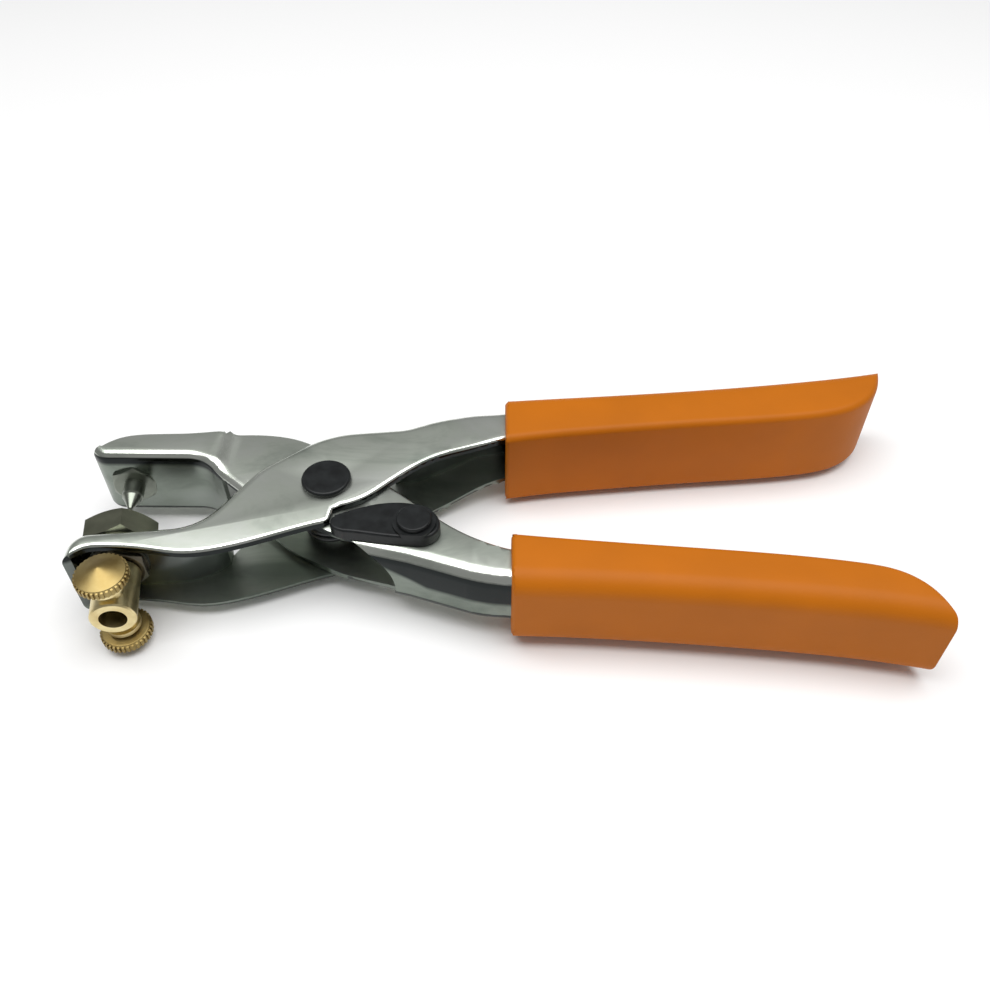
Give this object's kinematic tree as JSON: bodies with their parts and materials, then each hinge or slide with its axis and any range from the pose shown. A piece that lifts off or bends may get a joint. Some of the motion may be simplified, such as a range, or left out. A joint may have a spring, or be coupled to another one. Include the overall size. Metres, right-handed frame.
{
  "type": "hand hole punch",
  "caption": "Spring-opening punch pliers: pressed channel levers, pointed pin over a hexagonal die with a swivelling brass barrel, thumb lock and moulded grips.",
  "frame": {"origin": "middle of the underside of the whole tool's box, lying flat with the handles locked at their stop", "axes": "+X from the jaws towards the handles, +Y from the near grip towards the far grip, +Z along the pivot, up through the lock lever's side"},
  "size_m": [0.1986, 0.0818, 0.0261],
  "materials": {
    "plated_steel_die_lever": "satin plated pressed steel",
    "plated_steel_pin_lever": "satin plated pressed steel",
    "rivet_steel": "plain steel",
    "black_oxide": "black oxide, satin",
    "spring_steel": "spring steel wire",
    "die_steel": "ground steel",
    "brass": "turned brass",
    "knurled_brass": "turned and knurled brass",
    "pin_steel": "turned bright steel",
    "orange_vinyl": "moulded vinyl, satin"
  },
  "bodies": {
    "pin_half": {"pin_lever": "plated_steel_pin_lever", "punch_pin": "pin_steel", "pin_nut": "rivet_steel", "pivot_spacer": "rivet_steel", "opening_spring": "spring_steel", "lock_washer": "rivet_steel", "lock_rivet": "black_oxide", "near_grip": "orange_vinyl"},
    "die_half": {"die_lever": "plated_steel_die_lever", "pivot_rivet": "rivet_steel", "pivot_cap": "black_oxide", "die": "die_steel", "die_washer": "rivet_steel", "die_nut": "rivet_steel", "far_grip": "orange_vinyl"},
    "lock": {"lock_lever": "black_oxide"},
    "barrel_head": {"barrel": "brass", "upper_collar": "brass", "lower_collar": "brass"},
    "upper_knob": {"upper_thumb_screw": "knurled_brass"},
    "lower_knob": {"lower_thumb_screw": "knurled_brass"}
  },
  "joints": [
    {"name": "plier_pivot", "type": "hinge", "parent": "pin_half", "child": "die_half", "pos_m": [-0.04115, -0.00063, 0.0129], "axis": [0, 0, 1], "range_deg": [-12, 0], "stiffness_Nm_per_rad": 0.5, "springref_deg": 22.92, "deforming": ["opening_spring"]},
    {"name": "lock_lever_turn", "type": "hinge", "parent": "pin_half", "child": "lock", "pos_m": [-0.01975, -0.01483, 0.0129], "axis": [0, 0, 1], "range_deg": [0, 38]},
    {"name": "barrel_swivel", "type": "hinge", "parent": "die_half", "child": "barrel_head", "pos_m": [-0.0862, -0.0273, 0.0129], "axis": [0.1822, -0.9833, 0], "continuous": true},
    {"name": "upper_knob_turn", "type": "hinge", "parent": "barrel_head", "child": "upper_knob", "pos_m": [-0.08593, -0.02877, 0.0129], "axis": [0, 0, 1], "continuous": true},
    {"name": "lower_knob_turn", "type": "hinge", "parent": "barrel_head", "child": "lower_knob", "pos_m": [-0.08593, -0.02877, 0.0129], "axis": [0, 0, 1], "continuous": true}
  ]
}
